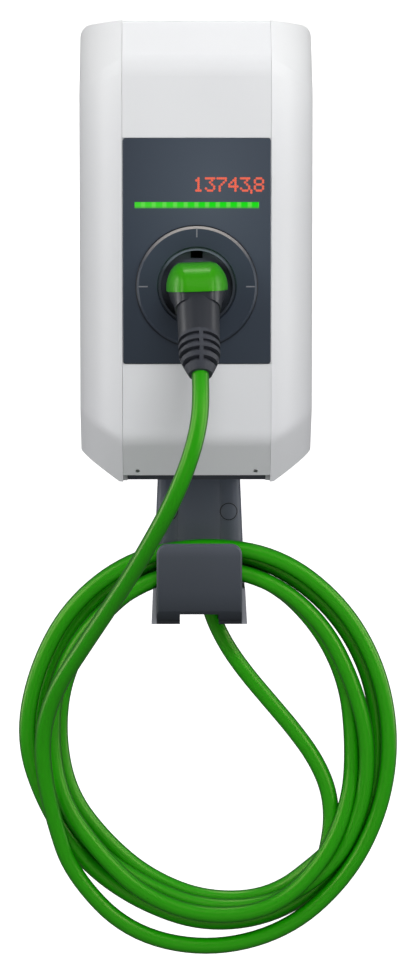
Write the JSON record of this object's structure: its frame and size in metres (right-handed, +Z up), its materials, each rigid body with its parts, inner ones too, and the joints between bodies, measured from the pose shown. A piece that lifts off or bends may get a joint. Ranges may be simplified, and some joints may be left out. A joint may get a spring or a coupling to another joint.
{
  "type": "ev wallbox",
  "caption": "Wall box for charging an electric car: white tapered housing with a dark panel, a parked plug under a green hood, and a green cable coiled on a hook below.",
  "frame": {"origin": "centre of the housing's back face, on the wall", "axes": "+X right as seen from the front, +Y into the wall, +Z up; the front faces -Y"},
  "size_m": [0.3945, 0.3098, 0.972],
  "materials": {
    "white_plastic": "fine satin moulded white",
    "dark_plastic": "matt dark grey moulding",
    "panel_plastic": "satin dark slate panel",
    "lamp_green": "translucent light guide",
    "board_green": "solder-masked circuit board",
    "display_black": "black display module",
    "socket_black": "matt black moulding",
    "connector_black": "satin black moulding",
    "hood_green": "satin bright green moulding",
    "boot_rubber": "soft black rubber",
    "contact_metal": "silver-plated contacts",
    "holder_plastic": "satin dark slate moulding",
    "gland_nylon": "black nylon",
    "cable_green": "green cable sheath with a soft sheen",
    "seal_rubber": "black sealing rubber",
    "rail_steel": "zinc-plated steel",
    "screw_steel": "plain steel screws",
    "device_grey": "light grey device mouldings",
    "fuse_glass": "clear glass tube",
    "button_red": "glossy red button"
  },
  "bodies": {
    "wall_box": {"housing_shell": "white_plastic", "front_cover": "white_plastic", "cover_screws": "screw_steel", "cover_seal": "seal_rubber", "base_tray": "dark_plastic", "front_panel": "panel_plastic", "light_bar": "lamp_green", "lamp_board": "board_green", "display_module": "display_black", "holster_ring": "panel_plastic", "holster_cup": "socket_black", "connector_nose": "connector_black", "connector_contacts": "contact_metal", "connector_hood": "hood_green", "connector_grip": "connector_black", "connector_boot": "boot_rubber", "cable_holder": "holder_plastic", "holder_caps": "holder_plastic", "cable_gland": "gland_nylon", "gland_nut": "gland_nylon", "gland_cap": "gland_nylon", "cable_tail": "cable_green", "cable_coil": "cable_green", "cable_lead": "cable_green", "supply_grommet": "seal_rubber", "din_rail": "rail_steel", "rail_screws": "screw_steel", "board_screws": "screw_steel", "terminal_block": "device_grey", "terminal_screws": "contact_metal", "energy_meter": "device_grey", "contactor": "device_grey", "current_sensor": "socket_black", "fuse_holder": "device_grey", "fuse_pin": "screw_steel", "control_board": "board_green", "power_supply": "socket_black", "button_case": "socket_black", "selector_case": "socket_black"},
    "button": {"service_button": "button_red"},
    "selector": {"current_selector": "device_grey"},
    "drawer": {"fuse_drawer": "device_grey", "fuse": "fuse_glass"}
  },
  "joints": [
    {"name": "service_button_press", "type": "slide", "parent": "wall_box", "child": "button", "axis": [0, 1, 0], "range_m": [0, 0.0012], "stiffness_N_per_m": 300, "springref_m": -0.0005},
    {"name": "current_selector_turn", "type": "hinge", "parent": "wall_box", "child": "selector", "pos_m": [0.03, -0.033, 0.078], "axis": [0, 1, 0], "range_deg": [0, 288]},
    {"name": "fuse_drawer_swing", "type": "hinge", "parent": "wall_box", "child": "drawer", "pos_m": [-0.0415, -0.068, -0.161], "axis": [1, 0, 0], "range_deg": [0, 70]}
  ]
}
